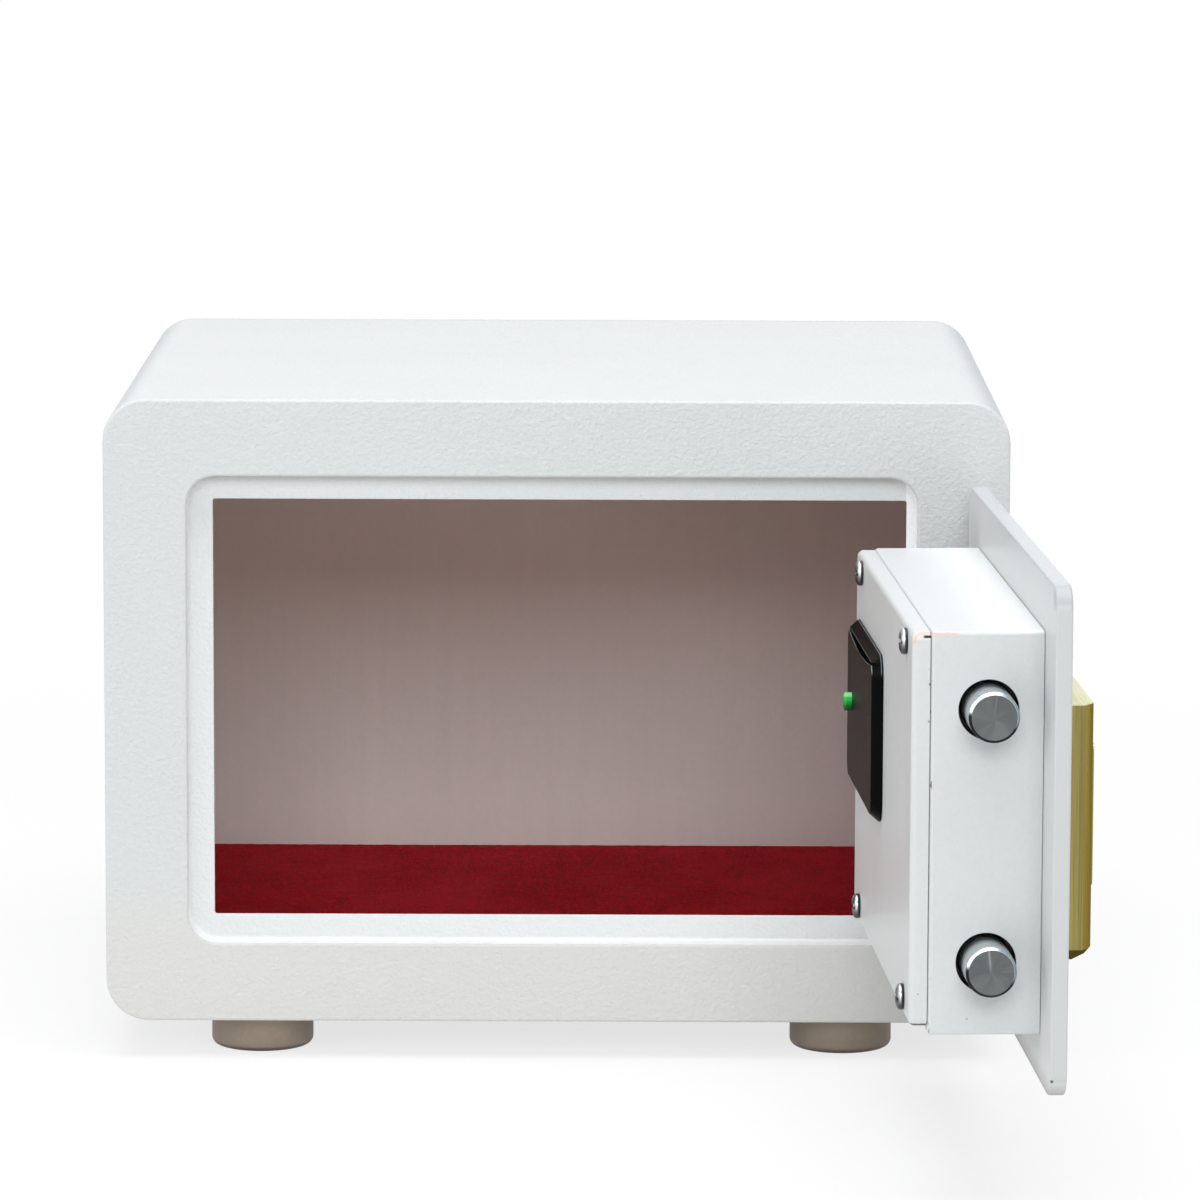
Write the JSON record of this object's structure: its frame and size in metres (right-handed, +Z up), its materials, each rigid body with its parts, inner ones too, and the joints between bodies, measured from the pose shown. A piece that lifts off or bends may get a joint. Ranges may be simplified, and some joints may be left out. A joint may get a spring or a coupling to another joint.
{
  "type": "home safe",
  "caption": "White steel home safe on round feet, its right-hung door open to show round bolts, a battery cover on the inner side and a brass keypad panel, with a red felt mat inside.",
  "frame": {"origin": "under the middle of the bounding box, on the surface that the feet stand on, with the door open as modelled", "axes": "+Z up, -Y out of the front of the cabinet, +X to the right as seen from the front, where the door hangs"},
  "size_m": [0.3678, 0.58, 0.259],
  "materials": {
    "body_paint": "white powder coat with a fine orange-peel texture, satin",
    "door_paint": "white powder coat, satin, chipped along some folds",
    "interior_paint": "taupe paint, matte, with faint streaks",
    "mat_felt": "red felt, fibrous",
    "floor_fibreboard": "raw fibreboard, matte",
    "foot_plastic": "moulded taupe plastic, matte",
    "hinge_steel": "grey painted steel, satin",
    "pin_zinc": "bright zinc plate, slightly worn",
    "bolt_steel": "turned steel, bright chamfer",
    "bolt_work_steel": "zinc-plated pressed steel",
    "bush_acetal": "natural white acetal",
    "pinion_brass": "machined brass",
    "motor_steel": "nickel-plated motor can",
    "circuit_board": "green solder mask, satin",
    "tray_plastic": "moulded dark plastic",
    "cell_jacket": "printed cell jacket, glossy",
    "cover_plastic": "black plastic, satin, lightly scuffed",
    "button_plastic": "green plastic, satin",
    "panel_brass": "brass with vertical brush marks",
    "key_plastic": "light plastic keys with dark figures",
    "lens_plastic": "smoked red lens, glossy",
    "barrel_chrome": "plated lock barrel, polished"
  },
  "bodies": {
    "cabinet": {"body_shell": "body_paint", "front_frame": "body_paint", "back_panel": "interior_paint", "floor_board": "floor_fibreboard", "felt_mat": "mat_felt", "foot_front_left": "foot_plastic", "foot_front_right": "foot_plastic", "foot_rear_left": "foot_plastic", "foot_rear_right": "foot_plastic", "hinge_bracket_upper": "hinge_steel", "hinge_bracket_lower": "hinge_steel", "hinge_pin_upper": "pin_zinc", "hinge_pin_lower": "pin_zinc"},
    "door": {"hinge_arm_upper": "hinge_steel", "hinge_arm_lower": "hinge_steel", "door_plate": "door_paint", "door_box": "door_paint", "inner_cover": "door_paint", "cover_screw_hinge_top": "pin_zinc", "cover_screw_hinge_bottom": "pin_zinc", "cover_screw_free_top": "pin_zinc", "cover_screw_free_bottom": "pin_zinc", "bolt_guide": "bolt_work_steel", "bolt_bush_upper": "bush_acetal", "bolt_bush_lower": "bush_acetal", "gear_axle": "pin_zinc", "gear_plate": "bolt_work_steel", "lock_motor": "motor_steel", "control_board": "circuit_board", "battery_tray": "tray_plastic", "battery_cell_1": "cell_jacket", "battery_cell_2": "cell_jacket", "battery_cell_3": "cell_jacket", "battery_cell_4": "cell_jacket", "reset_switch": "tray_plastic", "keypad_housing": "panel_brass", "key_board": "circuit_board", "indicator_lens": "lens_plastic", "override_barrel": "barrel_chrome"},
    "bolts": {"bolt_bar": "bolt_work_steel", "bolt_upper": "bolt_steel", "bolt_lower": "bolt_steel"},
    "drive_gear": {"drive_gear": "bush_acetal"},
    "motor_pinion": {"motor_pinion": "pinion_brass"},
    "battery_cover": {"battery_cover": "cover_plastic"},
    "reset_button": {"reset_button": "button_plastic"},
    "override_plug": {"override_plug": "pinion_brass"},
    "key_1": {"key_1": "key_plastic"},
    "key_2": {"key_2": "key_plastic"},
    "key_3": {"key_3": "key_plastic"},
    "key_4": {"key_4": "key_plastic"},
    "key_5": {"key_5": "key_plastic"},
    "key_6": {"key_6": "key_plastic"},
    "key_7": {"key_7": "key_plastic"},
    "key_8": {"key_8": "key_plastic"},
    "key_9": {"key_9": "key_plastic"},
    "key_star": {"key_star": "key_plastic"},
    "key_0": {"key_0": "key_plastic"},
    "key_hash": {"key_hash": "key_plastic"}
  },
  "joints": [
    {"name": "door_swing", "type": "hinge", "parent": "cabinet", "child": "door", "pos_m": [0.1441, 0.00346, 0.1815], "axis": [0, 0, 1], "range_deg": [-93.2, 1.8]},
    {"name": "bolt_throw", "type": "slide", "parent": "door", "child": "bolts", "axis": [0.0558, -0.9984, 0], "range_m": [0, 0.016]},
    {"name": "drive_gear_turn", "type": "hinge", "parent": "door", "child": "drive_gear", "pos_m": [0.13984, -0.18006, 0.1453], "axis": [-0.9984, -0.0558, 0], "range_deg": [0, 104.2]},
    {"name": "motor_pinion_turn", "type": "hinge", "parent": "door", "child": "motor_pinion", "pos_m": [0.13984, -0.18006, 0.1633], "axis": [-0.9984, -0.0558, 0], "range_deg": [-208.4, 0]},
    {"name": "battery_cover_lift", "type": "slide", "parent": "door", "child": "battery_cover", "axis": [-0.9984, -0.0558, 0], "range_m": [0, 0.015]},
    {"name": "reset_button_press", "type": "slide", "parent": "door", "child": "reset_button", "axis": [0.9984, 0.0558, 0], "range_m": [0, 0.0015], "stiffness_N_per_m": 300},
    {"name": "override_plug_turn", "type": "hinge", "parent": "door", "child": "override_plug", "pos_m": [0.13756, -0.13933, 0.1353], "axis": [-0.9984, -0.0558, 0], "range_deg": [0, 90]},
    {"name": "key_1_press", "type": "slide", "parent": "door", "child": "key_1", "axis": [-0.9984, -0.0558, 0], "range_m": [0, 0.0008], "stiffness_N_per_m": 400},
    {"name": "key_2_press", "type": "slide", "parent": "door", "child": "key_2", "axis": [-0.9984, -0.0558, 0], "range_m": [0, 0.0008], "stiffness_N_per_m": 400},
    {"name": "key_3_press", "type": "slide", "parent": "door", "child": "key_3", "axis": [-0.9984, -0.0558, 0], "range_m": [0, 0.0008], "stiffness_N_per_m": 400},
    {"name": "key_4_press", "type": "slide", "parent": "door", "child": "key_4", "axis": [-0.9984, -0.0558, 0], "range_m": [0, 0.0008], "stiffness_N_per_m": 400},
    {"name": "key_5_press", "type": "slide", "parent": "door", "child": "key_5", "axis": [-0.9984, -0.0558, 0], "range_m": [0, 0.0008], "stiffness_N_per_m": 400},
    {"name": "key_6_press", "type": "slide", "parent": "door", "child": "key_6", "axis": [-0.9984, -0.0558, 0], "range_m": [0, 0.0008], "stiffness_N_per_m": 400},
    {"name": "key_7_press", "type": "slide", "parent": "door", "child": "key_7", "axis": [-0.9984, -0.0558, 0], "range_m": [0, 0.0008], "stiffness_N_per_m": 400},
    {"name": "key_8_press", "type": "slide", "parent": "door", "child": "key_8", "axis": [-0.9984, -0.0558, 0], "range_m": [0, 0.0008], "stiffness_N_per_m": 400},
    {"name": "key_9_press", "type": "slide", "parent": "door", "child": "key_9", "axis": [-0.9984, -0.0558, 0], "range_m": [0, 0.0008], "stiffness_N_per_m": 400},
    {"name": "key_star_press", "type": "slide", "parent": "door", "child": "key_star", "axis": [-0.9984, -0.0558, 0], "range_m": [0, 0.0008], "stiffness_N_per_m": 400},
    {"name": "key_0_press", "type": "slide", "parent": "door", "child": "key_0", "axis": [-0.9984, -0.0558, 0], "range_m": [0, 0.0008], "stiffness_N_per_m": 400},
    {"name": "key_hash_press", "type": "slide", "parent": "door", "child": "key_hash", "axis": [-0.9984, -0.0558, 0], "range_m": [0, 0.0008], "stiffness_N_per_m": 400}
  ],
  "couplings": [
    {"joint": "drive_gear_turn", "follows": "bolt_throw", "rad_per_m": 113.64},
    {"joint": "motor_pinion_turn", "follows": "bolt_throw", "rad_per_m": -227.27}
  ]
}
